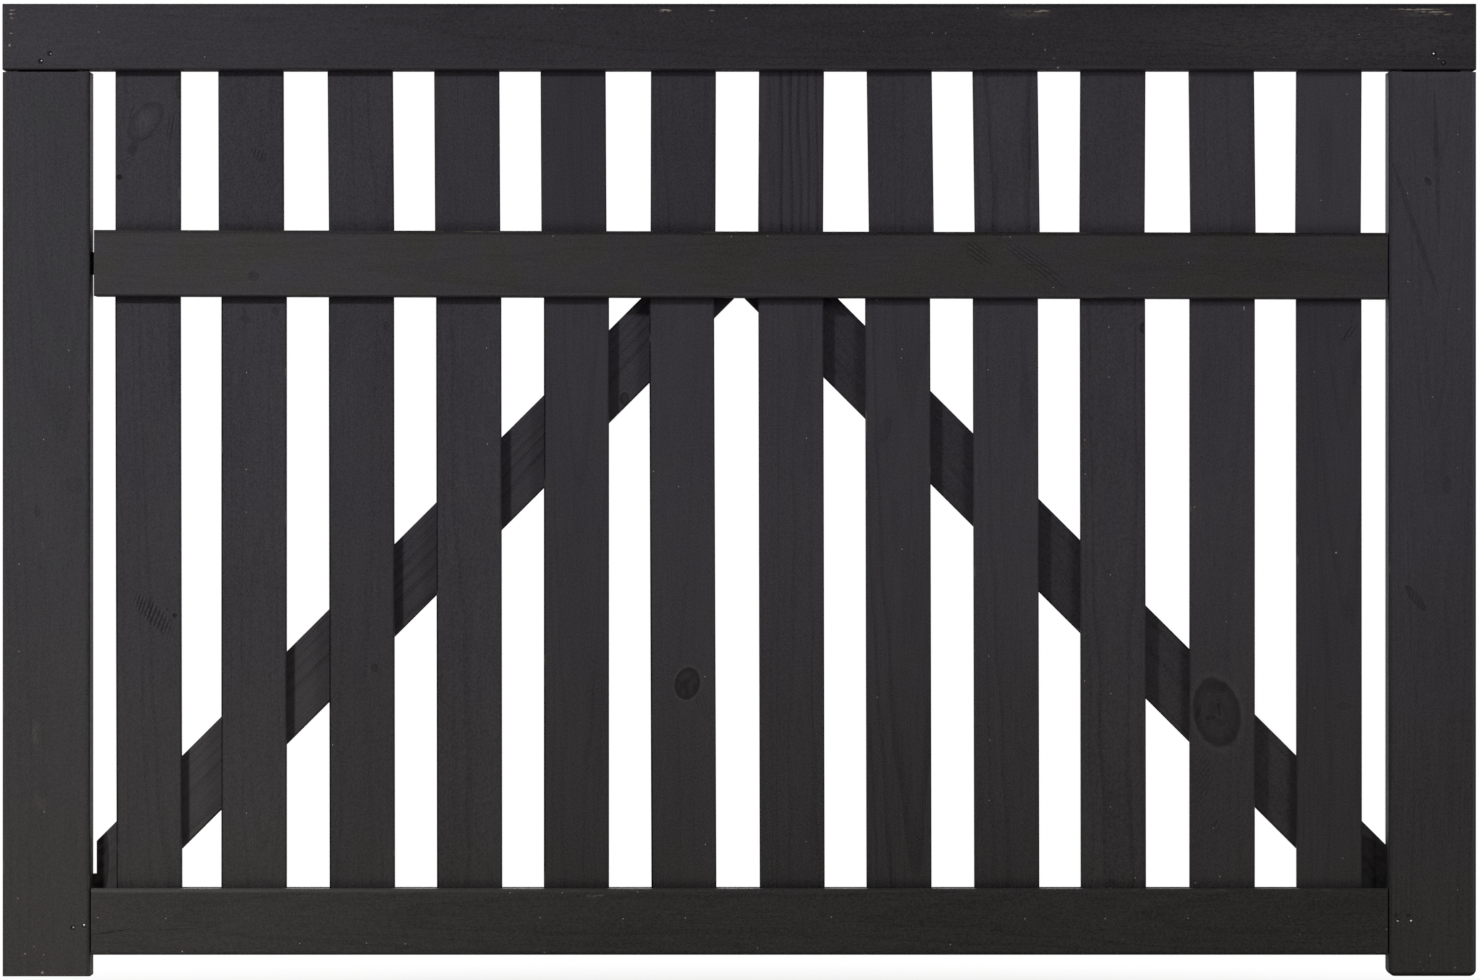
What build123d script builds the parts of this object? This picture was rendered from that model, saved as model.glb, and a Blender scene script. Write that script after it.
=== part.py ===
"""Single garden gate leaf: a pinned softwood frame with two rows of upright slats and two braces.

The stiles carry a top rail on their heads and hold a middle and a bottom rail between them.
Slats stand in grooves run along the rails, and two braces lie behind the lower slats.
Millimetres, +Z up, +X across the gate, front towards -Y.
The origin is the middle of the left stile's outer edge, the face that the hinges fix to.
"""
from math import asin, atan2, degrees, hypot, tan
import os

from build123d import *

# Frame
gate_width = 1515.0
gate_height = 1000.0
stile_width = 90.0
rail_height = 68.0
foot_height = 22.0          # stile below the bottom rail
upper_bay = 166.0           # clear height between top rail and middle rail
middle_rail_fall = 3.0      # how much lower the middle rail sits at its right end
frame_ease = 3.0            # radius of the planed arrises on stiles and rails
foot_corner_radius = 7.0    # worn inner corner at the foot of the right stile

# Depths, from front to back: rail lip, slat, brace
slat_setback = 13.0
slat_thickness = 16.0
brace_thickness = 16.0

# Slats
slat_count = 12
slat_width = 67.0
slat_end_gap = 26.0         # between a stile and the first slat
slat_ease = 2.0
groove_depth = 12.0
groove_play = 0.2           # on each face of a slat in its groove
slat_end_play = 1.0         # between a slat's end and the floor of its groove

# Each slat was set by eye: its step aside from an even row, and how far its foot leans to the right
upper_steps = (-1, -5.5, -3, -4, -5, -2.5, -2, 0, -1.5, -2.5, 0, -1)
upper_leans = (0, 0.5, 1.5, 1, 1, -0.5, -1, 2.5, 2.5, -1, 2, -1)
lower_steps = (-0.5, -2.5, -2, -2, -2, -3, -1.5, -2, -1.5, -2, 0, -0.5)
lower_leans = (1.5, 0, 1, 1, 0, 2.5, 1.5, 1.5, 1.5, 1, 0, 0.5)

# Joints
tenon_thickness = 15.0
tenon_play = 0.3            # around a tenon in its mortise
tenon_end_play = 1.0
head_tenon_width = 60.0     # on top of each stile
head_tenon_length = 40.0
middle_tenon_height = 23.0
middle_tenon_length = 35.0
bottom_tenon_height = 40.0
bottom_tenon_length = 45.0
head_joint_line = 2.2       # open line between a stile's shoulders and the top rail
joint_line = 1.0            # open line at a rail's shoulder
middle_left_gap = 4.0       # the middle rail stands off the left stile and shows its tenon

# Braces
brace_width = 68.0
brace_ease = 2.0
brace_head_gap = 10.0       # between the two heads under the middle rail
brace_play = 0.3            # at a cut end
left_foot_gap = 4.5         # the left brace is cut short of its stile, down to a small toe
left_toe_height = 14.0

# Seats of the brads, punched a little below the surface
brad_seat_width = 4.4
brad_seat_floor = 3.4
brad_seat_depth = 1.2

# Brads in the top rail: distance in from the rail's end, height above its lower edge
top_left_brads = ((40.0, 9.0), (49.5, 16.5))
top_right_brads = ((34.0, 7.5), (43.5, 16.5))

# Brads in the stiles: distance from the inner edge, height above the bottom rail's lower edge
left_foot_brads = ((17.0, 28.5), (6.0, 30.5))
right_foot_brads = ((9.5, 35.0), (23.0, 35.0))

# Brads in the braces, two at each crossing with a slat, driven from behind
brace_brad_spacing = 18.0   # between the two, across the gate
brace_brad_shift = 14.0     # from the slat's middle towards the brace's foot
brad_end_margin = 10.0      # below the cut head of a brace

# Places worked out from the sizes above, with z = 0 at the stiles' feet
frame_depth = slat_setback + slat_thickness + brace_thickness
front_y = -frame_depth / 2
slat_y = front_y + slat_setback + slat_thickness / 2
brace_y = frame_depth / 2 - brace_thickness / 2
left_inner = stile_width
right_inner = gate_width - stile_width
opening = right_inner - left_inner
middle_x = gate_width / 2
top_rail_under = gate_height - rail_height
stile_length = top_rail_under - head_joint_line
middle_rail_z = top_rail_under - upper_bay - rail_height / 2
bottom_rail_top = foot_height + rail_height
bottom_tenon_z = foot_height + (rail_height - groove_depth) / 2
slat_pitch = (opening - 2 * slat_end_gap - slat_width) / (slat_count - 1)
middle_rail_slope = middle_rail_fall / opening


def middle_rail_center(x):
    """Height of the middle rail's centre line at x."""
    return middle_rail_z - (x - middle_x) * middle_rail_slope


def block(x0, x1, y_center, depth, z0, z1):
    """A square-edged block between two ends, two heights and about one depth."""
    size = (x1 - x0, depth, z1 - z0)
    return Pos((x0 + x1) / 2, y_center, (z0 + z1) / 2) * Box(*size)


def lying_board(x0, x1, z_center, height, depth, ease):
    """A level board with its four long arrises rounded."""
    section = RectangleRounded(height, depth, ease)
    board = extrude(section, x1 - x0)
    return Pos(x0, 0, z_center) * Rot(0, 90, 0) * board


def standing_board(x_center, y_center, z0, z1, width, thickness, ease):
    """An upright board with its four long arrises rounded."""
    section = RectangleRounded(width, thickness, ease)
    return Pos(x_center, y_center, z0) * extrude(section, z1 - z0)


def slat_groove(x0, x1, z0, z1):
    """The run of a slat groove along a rail."""
    return block(x0, x1, slat_y, slat_thickness + 2 * groove_play, z0, z1)


def rail_mortise(x0, x1, z_center, height):
    """A mortise for a rail's tenon, with play all round it."""
    half = height / 2 + tenon_play
    return block(x0, x1, 0, tenon_thickness + 2 * tenon_play, z_center - half, z_center + half)


def brad_seat(x, y, z, inward):
    """The tapered seat of one brad in a face at y, sunk towards +Y where inward is +1 and -Y where it is -1."""
    mouth_at_top = (Align.CENTER, Align.CENTER, Align.MAX)
    seat = Cone(brad_seat_floor / 2, brad_seat_width / 2, brad_seat_depth, align=mouth_at_top)
    return Pos(x, y, z) * Rot(90 * inward, 0, 0) * seat


def make_stile(x_outer, inward, brads):
    """A stile with a tenon on its head and mortises for the middle and bottom rails.

    inward is +1 for the left stile and -1 for the right one. The brads pin the bottom rail's tenon.
    """
    x_center = x_outer + inward * stile_width / 2
    x_inner = x_outer + inward * stile_width
    stile = standing_board(x_center, 0, 0, stile_length, stile_width, frame_depth, frame_ease)
    half = head_tenon_width / 2
    tenon_top = top_rail_under + head_tenon_length
    stile += block(x_center - half, x_center + half, 0, tenon_thickness, stile_length, tenon_top)
    joints = (
        (middle_tenon_length, middle_rail_center(x_inner), middle_tenon_height),
        (bottom_tenon_length, bottom_tenon_z, bottom_tenon_height),
    )
    for length, z_center, height in joints:
        x_deep = x_inner - inward * (length + tenon_end_play)
        stile -= rail_mortise(min(x_deep, x_inner), max(x_deep, x_inner), z_center, height)
    for inset, height in brads:
        stile -= brad_seat(x_inner - inward * inset, front_y, foot_height + height, 1)
    return stile


def round_foot(stile, x_inner):
    """Round the worn corner where a stile's inner face meets its foot."""
    across = stile.edges().filter_by(Axis.Y).filter_by(lambda edge: edge.center().Z < frame_ease)
    corner = across.sort_by(lambda edge: abs(edge.center().X - x_inner))[0]
    return fillet(corner, foot_corner_radius)


def make_top_rail():
    """The top rail, mortised over both stile heads and grooved between them."""
    rail = lying_board(0, gate_width, gate_height - rail_height / 2, rail_height, frame_depth, frame_ease)
    rail -= slat_groove(left_inner, right_inner, top_rail_under, top_rail_under + groove_depth)
    half = head_tenon_width / 2 + tenon_play
    mortise_top = top_rail_under + head_tenon_length + tenon_end_play
    for x in (stile_width / 2, gate_width - stile_width / 2):
        depth = tenon_thickness + 2 * tenon_play
        rail -= block(x - half, x + half, 0, depth, top_rail_under, mortise_top)
    for inset, height in top_left_brads:
        rail -= brad_seat(inset, front_y, top_rail_under + height, 1)
    for inset, height in top_right_brads:
        rail -= brad_seat(gate_width - inset, front_y, top_rail_under + height, 1)
    return rail


def make_middle_rail():
    """The middle rail: grooved along both edges, tenoned at both ends and slightly out of level."""
    x0 = left_inner + middle_left_gap
    x1 = right_inner - joint_line
    half_height = rail_height / 2
    rail = lying_board(x0, x1, 0, rail_height, frame_depth, frame_ease)
    rail -= slat_groove(x0, x1, half_height - groove_depth, half_height)
    rail -= slat_groove(x0, x1, -half_height, groove_depth - half_height)
    half = middle_tenon_height / 2
    rail += block(left_inner - middle_tenon_length, x0, 0, tenon_thickness, -half, half)
    rail += block(x1, right_inner + middle_tenon_length, 0, tenon_thickness, -half, half)
    tilt = degrees(atan2(middle_rail_fall, opening))
    return Pos(middle_x, 0, middle_rail_z) * Rot(0, tilt, 0) * Pos(-middle_x, 0, 0) * rail


def make_bottom_rail():
    """The bottom rail: grooved along its top edge and tenoned below the groove."""
    x0 = left_inner + joint_line
    x1 = right_inner - joint_line
    rail = lying_board(x0, x1, bottom_rail_top - rail_height / 2, rail_height, frame_depth, frame_ease)
    rail -= slat_groove(x0, x1, bottom_rail_top - groove_depth, bottom_rail_top)
    z0 = bottom_tenon_z - bottom_tenon_height / 2
    z1 = bottom_tenon_z + bottom_tenon_height / 2
    rail += block(left_inner - bottom_tenon_length, x0, 0, tenon_thickness, z0, z1)
    rail += block(x1, right_inner + bottom_tenon_length, 0, tenon_thickness, z0, z1)
    return rail


def make_slat(index, z0, z1, steps, leans):
    """One upright slat between two groove floors, stepped aside and leaning as it was fixed."""
    x_center = slat_x(index, steps)
    length = z1 - z0 - 2 * slat_end_play
    slat = standing_board(0, 0, -length / 2, length / 2, slat_width, slat_thickness, slat_ease)
    lean = degrees(atan2(leans[index % len(leans)], length))
    return Pos(x_center, slat_y, (z0 + z1) / 2) * Rot(0, -lean, 0) * slat


def slat_x(index, steps):
    """Centre of a slat across the gate."""
    return left_inner + slat_end_gap + slat_width / 2 + index * slat_pitch + steps[index % len(steps)]


def make_brace(bay, crossings):
    """A brace from the bay's lower left corner up to the gate's middle, trimmed to its bay.

    Its centre line starts in the corner, and its lower arris meets the middle rail beside the other brace.
    Brads hold it at each crossing, the middle of a slat that it lies behind.
    """
    corner_x = left_inner + left_foot_gap
    run = middle_x - brace_head_gap / 2 - corner_x
    rise = middle_rail_center(middle_x) - rail_height / 2 - bottom_rail_top
    reach = hypot(run, rise)
    pitch = atan2(rise, run) + asin(brace_width / 2 / reach)
    length = 2 * reach + 2 * brace_width
    board = lying_board(-length / 2, length / 2, 0, brace_width, brace_thickness, brace_ease)
    brace = bay & (Pos(corner_x, brace_y, bottom_rail_top) * Rot(0, -degrees(pitch), 0) * board)
    for crossing in crossings:
        for side in (-1, 1):
            x = crossing - brace_brad_shift + side * brace_brad_spacing / 2
            climb = (x - corner_x) * tan(pitch)
            if climb < rise - brad_end_margin:
                brace -= brad_seat(x, frame_depth / 2, bottom_rail_top + climb, -1)
    return brace


def brace_bay(x0, x1):
    """The space behind the slats from x0 to x1, between the bottom rail and the middle rail."""
    under = rail_height / 2 + brace_play
    corners = (
        (x0, bottom_rail_top),
        (x1, bottom_rail_top),
        (x1, middle_rail_center(x1) - under),
        (x0, middle_rail_center(x0) - under),
    )
    outline = Plane.XZ * make_face(Polyline(*corners, close=True))
    return Pos(0, brace_y, 0) * extrude(outline, brace_thickness / 2, both=True)


def make_left_brace():
    """The left brace, which stands off its stile except at its toe."""
    bay = brace_bay(left_inner + left_foot_gap, middle_x)
    toe_top = bottom_rail_top + left_toe_height
    bay += block(left_inner, left_inner + left_foot_gap, brace_y, brace_thickness, bottom_rail_top, toe_top)
    slats = [slat_x(index, lower_steps) for index in range(slat_count)]
    return make_brace(bay, [x for x in slats if x < middle_x])


def make_right_brace():
    """The right brace, handed to the left one and fitted close to its stile."""
    mirror_plane = Plane.YZ.offset(middle_x)
    bay = mirror(brace_bay(middle_x, right_inner - brace_play), mirror_plane)
    slats = [slat_x(index, lower_steps) for index in range(slat_count)]
    return mirror(make_brace(bay, [gate_width - x for x in slats if x > middle_x]), mirror_plane)


pieces = {
    "left_stile": make_stile(0, 1, left_foot_brads),
    "right_stile": round_foot(make_stile(gate_width, -1, right_foot_brads), right_inner),
    "top_rail": make_top_rail(),
    "middle_rail": make_middle_rail(),
    "bottom_rail": make_bottom_rail(),
    "left_brace": make_left_brace(),
    "right_brace": make_right_brace(),
}
for index in range(slat_count):
    number = f"{index + 1:02d}"
    upper_floor = middle_rail_center(slat_x(index, upper_steps)) + rail_height / 2 - groove_depth
    lower_ceiling = middle_rail_center(slat_x(index, lower_steps)) - rail_height / 2 + groove_depth
    pieces["upper_slat_" + number] = make_slat(
        index, upper_floor, top_rail_under + groove_depth, upper_steps, upper_leans)
    pieces["lower_slat_" + number] = make_slat(
        index, bottom_rail_top - groove_depth, lower_ceiling, lower_steps, lower_leans)

os.makedirs("parts", exist_ok=True)
to_origin = Pos(0, 0, -stile_length / 2)
for name, piece in pieces.items():
    export_step(to_origin * piece, os.path.join("parts", name + ".step"))
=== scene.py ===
"""Single garden gate leaf in black-stained pine: the finish of its boards, its brads and a plain studio."""
import math
from collections import namedtuple

import bmesh
import bpy
from mathutils import Matrix, Vector, geometry


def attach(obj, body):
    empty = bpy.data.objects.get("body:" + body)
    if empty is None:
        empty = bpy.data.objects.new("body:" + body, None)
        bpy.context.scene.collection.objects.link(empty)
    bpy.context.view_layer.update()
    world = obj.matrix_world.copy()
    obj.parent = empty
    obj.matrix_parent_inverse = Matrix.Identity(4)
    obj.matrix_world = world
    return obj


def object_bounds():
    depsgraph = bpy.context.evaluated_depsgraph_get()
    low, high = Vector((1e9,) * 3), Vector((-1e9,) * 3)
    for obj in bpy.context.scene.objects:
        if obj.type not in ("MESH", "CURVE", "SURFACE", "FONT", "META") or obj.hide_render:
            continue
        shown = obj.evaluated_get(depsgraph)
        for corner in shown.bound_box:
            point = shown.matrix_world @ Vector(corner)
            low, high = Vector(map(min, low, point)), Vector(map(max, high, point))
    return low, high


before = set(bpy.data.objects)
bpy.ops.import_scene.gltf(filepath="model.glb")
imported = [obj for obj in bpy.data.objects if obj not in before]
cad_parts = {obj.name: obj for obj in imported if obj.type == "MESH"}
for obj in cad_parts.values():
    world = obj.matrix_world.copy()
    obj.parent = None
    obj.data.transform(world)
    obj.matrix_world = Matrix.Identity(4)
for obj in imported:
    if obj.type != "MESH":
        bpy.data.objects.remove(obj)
cad_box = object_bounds()

# Stiles
# The two uprights of the frame, planed pine stained near-black on all sides before the gate went together.
# Their heads are tenoned into the top rail, and the lower rails' tenons go into their inner edges.

COOL_STAIN = (0.0404, 0.0368, 0.0458, 1.0)      # where the stain lies thick
WARM_STAIN = (0.0420, 0.0384, 0.0446, 1.0)      # where the wood's brown comes through
GREY_STAIN = (0.0404, 0.0394, 0.0440, 1.0)      # where it has weathered
SPLASHED_STAIN = (0.0410, 0.0386, 0.0366, 1.0)  # browned by the soil that rain splashes up
# The darkest stain also serves as painted shade: in seats and joints, round the brads and at the braces'
# toes
KNOT_STAIN_AND_SHADE = (0.0150, 0.0135, 0.0142, 1.0)      # in knots and end grain, which drink more of it
BARE_PINE = (0.400, 0.355, 0.300, 1.0)          # where the stain was rubbed off or never reached


def stain_node(tree, kind, sockets, **settings):
    """Adds a shader node, with its settings made and its sockets filled by values or by other sockets."""
    node = tree.nodes.new("ShaderNode" + kind)
    for name, value in settings.items():
        setattr(node, name, value)
    for name, value in sockets.items():
        if isinstance(value, bpy.types.NodeSocket):
            tree.links.new(value, node.inputs[name])
        else:
            node.inputs[name].default_value = value
    return node


def stain_sum(tree, operation, *terms):
    """One sum of numbers or sockets."""
    return stain_node(tree, "Math", dict(enumerate(terms)), operation=operation).outputs[0]


def stain_offset(tree, operation, *terms):
    """One sum of places on a board."""
    node = stain_node(tree, "VectorMath", dict(enumerate(terms)), operation=operation)
    return node.outputs["Value" if operation in ("LENGTH", "DOT_PRODUCT") else "Vector"]


def stain_fade(tree, value, start, end, low=0.0, high=1.0):
    """Goes smoothly from low to high as the value goes from start to end."""
    sockets = {"Value": value, "From Min": start, "From Max": end, "To Min": low, "To Max": high}
    return stain_node(tree, "MapRange", sockets, interpolation_type="SMOOTHSTEP").outputs["Result"]


def stain_blend(tree, share, under, over, way="MIX"):
    """Lays one colour over another by a share."""
    node = stain_node(tree, "Mix", {0: share, 6: under, 7: over}, data_type="RGBA", blend_type=way)
    return node.outputs[2]


def grain_noise(tree, place, swings, detail=0.0):
    """Noise drawn out along the board, by its number of swings in a metre across and along the grain."""
    across, along = swings
    stretched = stain_offset(tree, "MULTIPLY", place, (across, across, along))
    return stain_node(tree, "TexNoise", {"Vector": stretched, "Scale": 1.0, "Detail": detail}).outputs


def box_of(points):
    """The low and the high corner of the box round some points."""
    low = Vector([min(point[axis] for point in points) for axis in range(3)])
    high = Vector([max(point[axis] for point in points) for axis in range(3)])
    return low, high


Lie = namedtuple("Lie", "middle turn half")


def lie_of(board):
    """Where a board lies: its middle, how far its grain is turned from upright, and its half sizes.

    The grain of a standing board runs upwards, and that of a rail to the right.
    """
    points = [vertex.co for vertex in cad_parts[board].data.vertices]
    flat = [Vector((point.x, point.z)) for point in points]
    rim = [flat[index] for index in geometry.convex_hull_2d(flat)]
    longest = max(zip(rim, rim[1:] + rim[:1]), key=lambda side: (side[1] - side[0]).length)
    run = longest[1] - longest[0]
    turn = math.atan2(run.x, run.y)
    if turn > math.radians(100):
        turn -= math.pi
    if turn < math.radians(-80):
        turn += math.pi
    upright = Matrix.Rotation(turn, 3, "Y")
    low, high = box_of([upright.transposed() @ point for point in points])
    return Lie(upright @ ((low + high) / 2), turn, (high - low) / 2)


def spot_on(lie, x, z):
    """Where a spot of the gate is on a board, from the board's middle and with its grain upright."""
    spot = Matrix.Rotation(lie.turn, 3, "Y").transposed() @ (Vector((x, lie.middle.y, z)) - lie.middle)
    return Vector((spot.x, 0.0, spot.z))


def oval_reach(tree, lie, grain, x, z, half_width, half_length, tilt):
    """Distance from a spot of the gate, which is 1 at the rim of a tilted oval round it."""
    sockets = {"Vector": grain, "Location": spot_on(lie, x, z),
               "Rotation": (0, math.radians(tilt) - lie.turn, 0), "Scale": (half_width, 1.0, half_length)}
    oval = stain_node(tree, "Mapping", sockets, vector_type="TEXTURE").outputs[0]
    return stain_offset(tree, "LENGTH", oval)


KNOT_HOLD = 0.45                # how soon a knot's hold on the grain round it fades


def part_grain(tree, lie, place, knots):
    """Parts the grain round each knot that pushes it, and measures the reach of every knot."""
    grown = place
    reaches = []
    for x, z, half_width, half_length, tilt, rim, heart, push in knots:
        reach = oval_reach(tree, lie, grown if push else place, x, z, half_width, half_length, tilt)
        reaches.append((reach, rim, heart))
        if push:
            far = stain_sum(tree, "MULTIPLY", reach, reach)
            near = stain_sum(tree, "EXPONENT", stain_sum(tree, "MULTIPLY", far, -KNOT_HOLD))
            aside = stain_offset(tree, "SUBTRACT", grown, spot_on(lie, x, z))
            aside = stain_offset(tree, "MULTIPLY", aside, (push, 0.0, 0.0))
            aside = stain_node(tree, "VectorMath", {"Vector": aside, "Scale": near}, operation="SCALE")
            grown = stain_offset(tree, "SUBTRACT", grown, aside.outputs["Vector"])
    return grown, reaches


WANDER_SWINGS = (5.0, 1.6)
PITH_WANDER = 0.018             # how far the pith strays along the trunk
RIPPLE_DEPTH = 0.0028           # how far the rings ripple
SEASON_SWINGS = 0.73            # between strong and weak rings, in a year
LATE_STARTS, LATE_FULL, LATE_FADES = 0.45, 0.90, 0.93           # shares of a ring


def growth_rings(tree, grown, seeded, along, ripple, pith, ring_gap, taper):
    """Late wood in rings about a wandering pith, drawn out by the trunk's taper."""
    wander = grain_noise(tree, seeded, WANDER_SWINGS)["Color"]
    wander = stain_offset(tree, "SUBTRACT", wander, (0.5, 0.5, 0.5))
    wander = stain_offset(tree, "MULTIPLY", wander, (PITH_WANDER, PITH_WANDER, 0.0))
    from_pith = stain_offset(tree, "SUBTRACT", stain_offset(tree, "ADD", grown, wander), (*pith, 0.0))
    radius = stain_offset(tree, "LENGTH", stain_offset(tree, "MULTIPLY", from_pith, (1.0, 1.0, 0.0)))
    radius = stain_sum(tree, "MULTIPLY_ADD", along, -taper, radius)
    radius = stain_sum(tree, "MULTIPLY_ADD", ripple, RIPPLE_DEPTH, radius)
    year = stain_sum(tree, "DIVIDE", radius, ring_gap)
    ring = stain_sum(tree, "FRACT", year)
    late_wood = stain_fade(tree, ring, LATE_STARTS, LATE_FULL)
    late_wood = stain_sum(tree, "MULTIPLY", late_wood, stain_fade(tree, ring, 1.0, LATE_FADES))
    sockets = {"W": year, "Scale": SEASON_SWINGS, "Detail": 0.0}
    seasons = stain_node(tree, "TexNoise", sockets, noise_dimensions="1D").outputs["Fac"]
    return stain_sum(tree, "MULTIPLY", late_wood, stain_fade(tree, seasons, 0.3, 0.7, 0.15))


TORN_PITCH = 0.0040             # between the strokes of torn grain
TORN_WAVE = 6.0                 # how much the strokes follow the rings' ripple
TORN_DARKER = 0.45              # how much darker a torn place is all over


def tear_grain(tree, lie, place, ripple, tooth, torn, shade, height):
    """Short strokes where the planer's knives lifted the fibres beside a knot."""
    for x, z, half_width, half_length, tilt, lean, strength in torn:
        reach = oval_reach(tree, lie, place, x, z, half_width, half_length, tilt)
        patch = stain_fade(tree, reach, 1.1, 0.5)
        slant = math.radians(lean) - lie.turn
        over_strokes = Vector((math.cos(slant), 0.0, -math.sin(slant))) * math.tau / TORN_PITCH
        stroke = stain_offset(tree, "DOT_PRODUCT", place, over_strokes)
        stroke = stain_sum(tree, "SINE", stain_sum(tree, "MULTIPLY_ADD", ripple, TORN_WAVE, stroke))
        broken = stain_sum(tree, "MULTIPLY", stroke, stain_fade(tree, tooth, 0.30, 0.55))
        lifted = stain_sum(tree, "MULTIPLY", broken, patch)
        shade = stain_sum(tree, "MULTIPLY_ADD", lifted, strength, shade)
        shade = stain_sum(tree, "MULTIPLY_ADD", patch, -TORN_DARKER * strength, shade)
        height = stain_sum(tree, "MULTIPLY_ADD", lifted, strength, height)
    return shade, height


KNOT_SWINGS = (150.0, 110.0)
KNOT_RAGGED = 0.14              # how far a knot's rim strays, as a share of its half size
KNOT_HALO = 0.03                # how bare the thin line round a knot is


def stain_knots(tree, seeded, reaches, colour):
    """A dark rim round a mottled heart, with a thin pale line outside it, by shares of the half size."""
    if not reaches:
        return colour
    rim_noise = grain_noise(tree, seeded, KNOT_SWINGS, detail=1.0)["Fac"]
    for reach, rim, heart in reaches:
        ragged = stain_sum(tree, "MULTIPLY_ADD", rim_noise, KNOT_RAGGED, reach)
        inside = stain_fade(tree, ragged, 1.15, 1.03)
        mottled = stain_fade(tree, rim_noise, 0.38, 0.60, 1.3 * heart, 0.7 * heart)
        dark = stain_fade(tree, ragged, 0.68, 1.03, mottled, rim)
        colour = stain_blend(tree, stain_sum(tree, "MULTIPLY", inside, dark), colour, KNOT_STAIN_AND_SHADE)
        outside = stain_fade(tree, ragged, 1.09, 1.17, 0.0, KNOT_HALO * rim)
        outside = stain_sum(tree, "MULTIPLY", outside, stain_fade(tree, ragged, 1.37, 1.19))
        colour = stain_blend(tree, outside, colour, BARE_PINE)
    return colour


ARRIS_OUTER, ARRIS_INNER = 0.0004, 0.0024       # the rounding itself, measured in from the board's sides
ARRIS_DARKER = 0.15
WEAR_SWINGS = (30.0, 26.0)
WORN_BARE = 0.16
SUNK_OUTER, SUNK_INNER = 0.0009, 0.0012         # this far below the faces lie brad seats and joints
SUNK_STAIN_AND_SHADE = 0.8


def wear_arrises_shade_recesses(tree, seeded, inset, colour):
    """Arrises dry a little darker and wear thin in places, and sunk faces are darker: end grain, which
    drinks more stain, and brad seats and joints, which are painted shade.
    """
    arris = stain_sum(tree, "MAXIMUM", inset["X"], inset["Y"])
    arris = stain_fade(tree, arris, ARRIS_INNER, ARRIS_OUTER)
    colour = stain_blend(tree, stain_sum(tree, "MULTIPLY", arris, ARRIS_DARKER), colour, KNOT_STAIN_AND_SHADE)
    wear = grain_noise(tree, seeded, WEAR_SWINGS, detail=2.0)["Fac"]
    worn = stain_sum(tree, "MULTIPLY", arris, stain_fade(tree, wear, 0.64, 0.74, 0.0, WORN_BARE))
    colour = stain_blend(tree, worn, colour, BARE_PINE)
    # Sunk faces: end grain, which drinks more stain, and brad seats and joints, painted darker as shade
    sunk = stain_sum(tree, "MINIMUM", inset["X"], inset["Y"])
    sunk = stain_fade(tree, sunk, SUNK_OUTER, SUNK_INNER, 0.0, SUNK_STAIN_AND_SHADE)
    return stain_blend(tree, sunk, colour, KNOT_STAIN_AND_SHADE)


SPECK_PITCH = 0.026
SPECK_RADIUS = 0.0007
SPECK_BARE = 0.8


def miss_specks(tree, seed, on_board, inset, specks, colour):
    """Bare specks, strewn over a share of the cells of a grid, where the stain missed."""
    if not specks:
        return colour
    flat = stain_node(tree, "CombineXYZ", {"X": on_board["X"], "Y": on_board["Z"]}).outputs[0]
    flat = stain_offset(tree, "ADD", flat, (seed, seed * 0.3, 0.0))
    sockets = {"Vector": flat, "Scale": 1.0 / SPECK_PITCH}
    cells = stain_node(tree, "TexVoronoi", sockets, voronoi_dimensions="2D").outputs
    chance = stain_node(tree, "SeparateColor", {0: cells["Color"]}).outputs["Red"]
    kept = stain_fade(tree, chance, 1.0 - specks, 1.0 - 0.8 * specks, 0.0, SPECK_BARE)
    size = SPECK_RADIUS / SPECK_PITCH
    speck = stain_sum(tree, "MULTIPLY", stain_fade(tree, cells["Distance"], size, 0.4 * size), kept)
    speck = stain_sum(tree, "MULTIPLY", speck, stain_fade(tree, inset["X"], 0.002, 0.003))
    return stain_blend(tree, speck, colour, BARE_PINE)


RUB_SWINGS = (700.0, 160.0)


def rub_bare(tree, lie, place, seeded, rubs, colour):
    """Rubbed places, where bare wood shows in broken streaks along the grain."""
    if not rubs:
        return colour
    rub_noise = grain_noise(tree, seeded, RUB_SWINGS, detail=1.0)["Fac"]
    for x, z, half_width, half_length, strength in rubs:
        reach = oval_reach(tree, lie, place, x, z, half_width, half_length, math.degrees(lie.turn))
        streaks = stain_fade(tree, rub_noise, 0.36, 0.58, 0.0, strength)
        rub = stain_sum(tree, "MULTIPLY", stain_fade(tree, reach, 1.1, 0.4), streaks)
        colour = stain_blend(tree, rub, colour, BARE_PINE)
    return colour


SEED_SPREAD = 37.0              # sets the noise of the boards so far apart that no two look alike
RIPPLE_SWINGS = (60.0, 11.0)
FIBRE_SWINGS = (480.0, 22.0)
TOOTH_SWINGS = (740.0, 540.0)
CLOUD_SWINGS = (16.0, 5.0)
PATCH_SWINGS = (38.0, 26.0)
LATE_WOOD_DARKER = 0.30         # how much each texture shows in the tone
FIBRE_SHOW = 0.20
TOOTH_SHOW = 1.0
CLOUD_SHOW = 0.24
PLANER_PITCH = 0.0042           # between the ripples that the planer's knives leave
PLANER_DEPTH = 0.05             # of these ripples, as a share of the fibres' height
TOOTH_DEPTH = 0.6               # of the tooth, as such a share
FIBRE_DEPTH = 0.0005
FIBRE_BUMP = 0.45
DULL_FILM, SATIN_FILM = 0.66, 0.50              # roughness
FOOT_SHADE_FULL, FOOT_SHADE_NONE = 0.010, 0.024             # how far up from a slat's foot the painted shade goes
SPLASH_TOP = 0.25               # no splash above this height
SPLASH_FOOT = -0.60             # all splashed at this height, which is under the floor
SATIN_SHEEN = 0.025


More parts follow.
